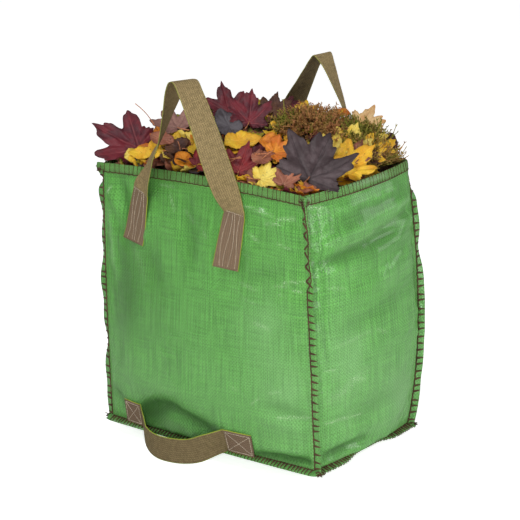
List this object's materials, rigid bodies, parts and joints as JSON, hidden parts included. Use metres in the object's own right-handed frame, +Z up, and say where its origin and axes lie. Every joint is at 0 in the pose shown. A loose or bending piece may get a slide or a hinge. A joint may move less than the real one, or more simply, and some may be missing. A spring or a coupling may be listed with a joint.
{
  "type": "garden waste bag",
  "caption": "Open square-sided garden waste bag of woven plastic sheet with webbing carrying and tipping handles, filled with autumn leaves and moss.",
  "frame": {"origin": "centre of the base, on the ground", "axes": "+Z up, -Y towards the front with the tipping handle, +X to the right seen from the front"},
  "size_m": [0.5618, 0.4188, 0.7304],
  "materials": {
    "sheet": "satin woven plastic",
    "webbing": "herringbone webbing",
    "litter": "matt, packed leaves",
    "moss": "matt, fibrous",
    "leaf_crimson": "matt leaf",
    "leaf_red": "matt leaf",
    "leaf_plum": "matt leaf",
    "leaf_slate": "matt leaf",
    "leaf_mauve": "matt leaf",
    "leaf_umber": "matt leaf",
    "leaf_rust": "matt leaf",
    "leaf_orange": "matt leaf",
    "leaf_tan": "matt leaf",
    "leaf_yellow": "matt leaf",
    "leaf_lemon": "matt leaf"
  },
  "bodies": {
    "root": {"front_panel": "sheet", "right_panel": "sheet", "back_panel": "sheet", "left_panel": "sheet", "base_panel": "sheet", "front_carry_handle": "webbing", "back_carry_handle": "webbing", "tipping_handle": "webbing", "packed_litter": "litter", "moss_middle": "moss", "moss_right": "moss", "brown_oval_leaf": "leaf_umber", "mauve_maple_leaf": "leaf_mauve", "pink_oval_leaf": "leaf_rust", "yellow_round_leaf": "leaf_yellow", "yellow_gap_leaf": "leaf_yellow", "yellow_back_leaf": "leaf_yellow", "tan_maple_leaf": "leaf_tan", "plum_back_leaf": "leaf_plum", "slate_oval_leaf": "leaf_slate", "yellow_middle_leaf": "leaf_yellow", "crimson_top_leaf": "leaf_crimson", "crimson_back_leaf": "leaf_crimson", "orange_middle_leaf": "leaf_orange", "rust_folded_leaf": "leaf_rust", "crimson_front_leaf": "leaf_red", "lemon_front_leaf": "leaf_lemon", "lemon_maple_leaf": "leaf_lemon", "yellow_maple_leaf": "leaf_yellow", "plum_maple_leaf": "leaf_plum", "rust_front_leaf": "leaf_rust", "crimson_maple_leaf": "leaf_crimson"}
  },
  "joints": []
}
